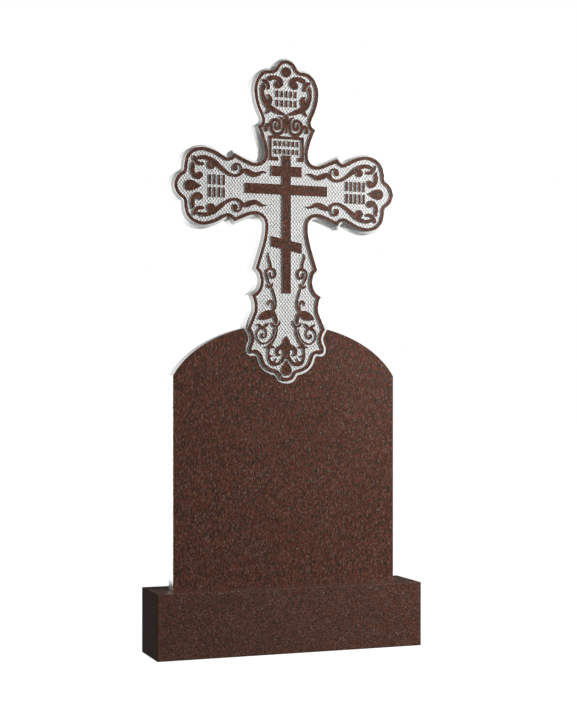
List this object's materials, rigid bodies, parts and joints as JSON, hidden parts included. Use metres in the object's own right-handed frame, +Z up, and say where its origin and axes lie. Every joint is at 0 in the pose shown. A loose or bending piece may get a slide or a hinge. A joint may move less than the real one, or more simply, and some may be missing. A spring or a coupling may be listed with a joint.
{
  "type": "cross headstone",
  "caption": "Free-standing granite memorial: a round-topped slab with a carved trefoil-ended cross growing out of it, on a plain base block.",
  "frame": {"origin": "middle of the underside of the base block, on the ground", "axes": "+Z up; the carved front looks towards -Y; +X is to the right of someone who faces the front"},
  "size_m": [0.712, 0.151, 1.5204],
  "materials": {
    "slab_granite": "polished granite with pale carved grounds and pale sawn edges",
    "base_granite": "polished granite"
  },
  "bodies": {
    "root": {"stele": "slab_granite", "base_block": "base_granite"}
  },
  "joints": []
}
